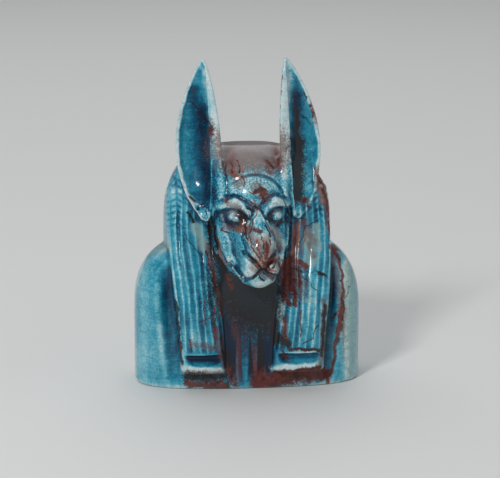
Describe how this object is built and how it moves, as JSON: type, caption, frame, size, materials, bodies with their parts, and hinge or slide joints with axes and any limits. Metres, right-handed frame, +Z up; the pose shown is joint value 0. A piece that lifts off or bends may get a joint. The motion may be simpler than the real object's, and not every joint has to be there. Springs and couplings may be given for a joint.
{
  "type": "antique statue",
  "caption": "Small jackal-headed bust with tall cupped ears and a striped wig, moulded in one piece and cut flat below.",
  "frame": {"origin": "middle of the flat underside, below the middle of the shoulders", "axes": "+Z up through the ears, -Y the way the chest faces, +X the bust's own left; the head turns a little towards +X"},
  "size_m": [0.0462, 0.032, 0.0662],
  "materials": {
    "blue_faience": "glossy turquoise glaze, crackled, with dark red-brown runs and chips"
  },
  "bodies": {
    "root": {"jackal_bust": "blue_faience"}
  },
  "joints": []
}
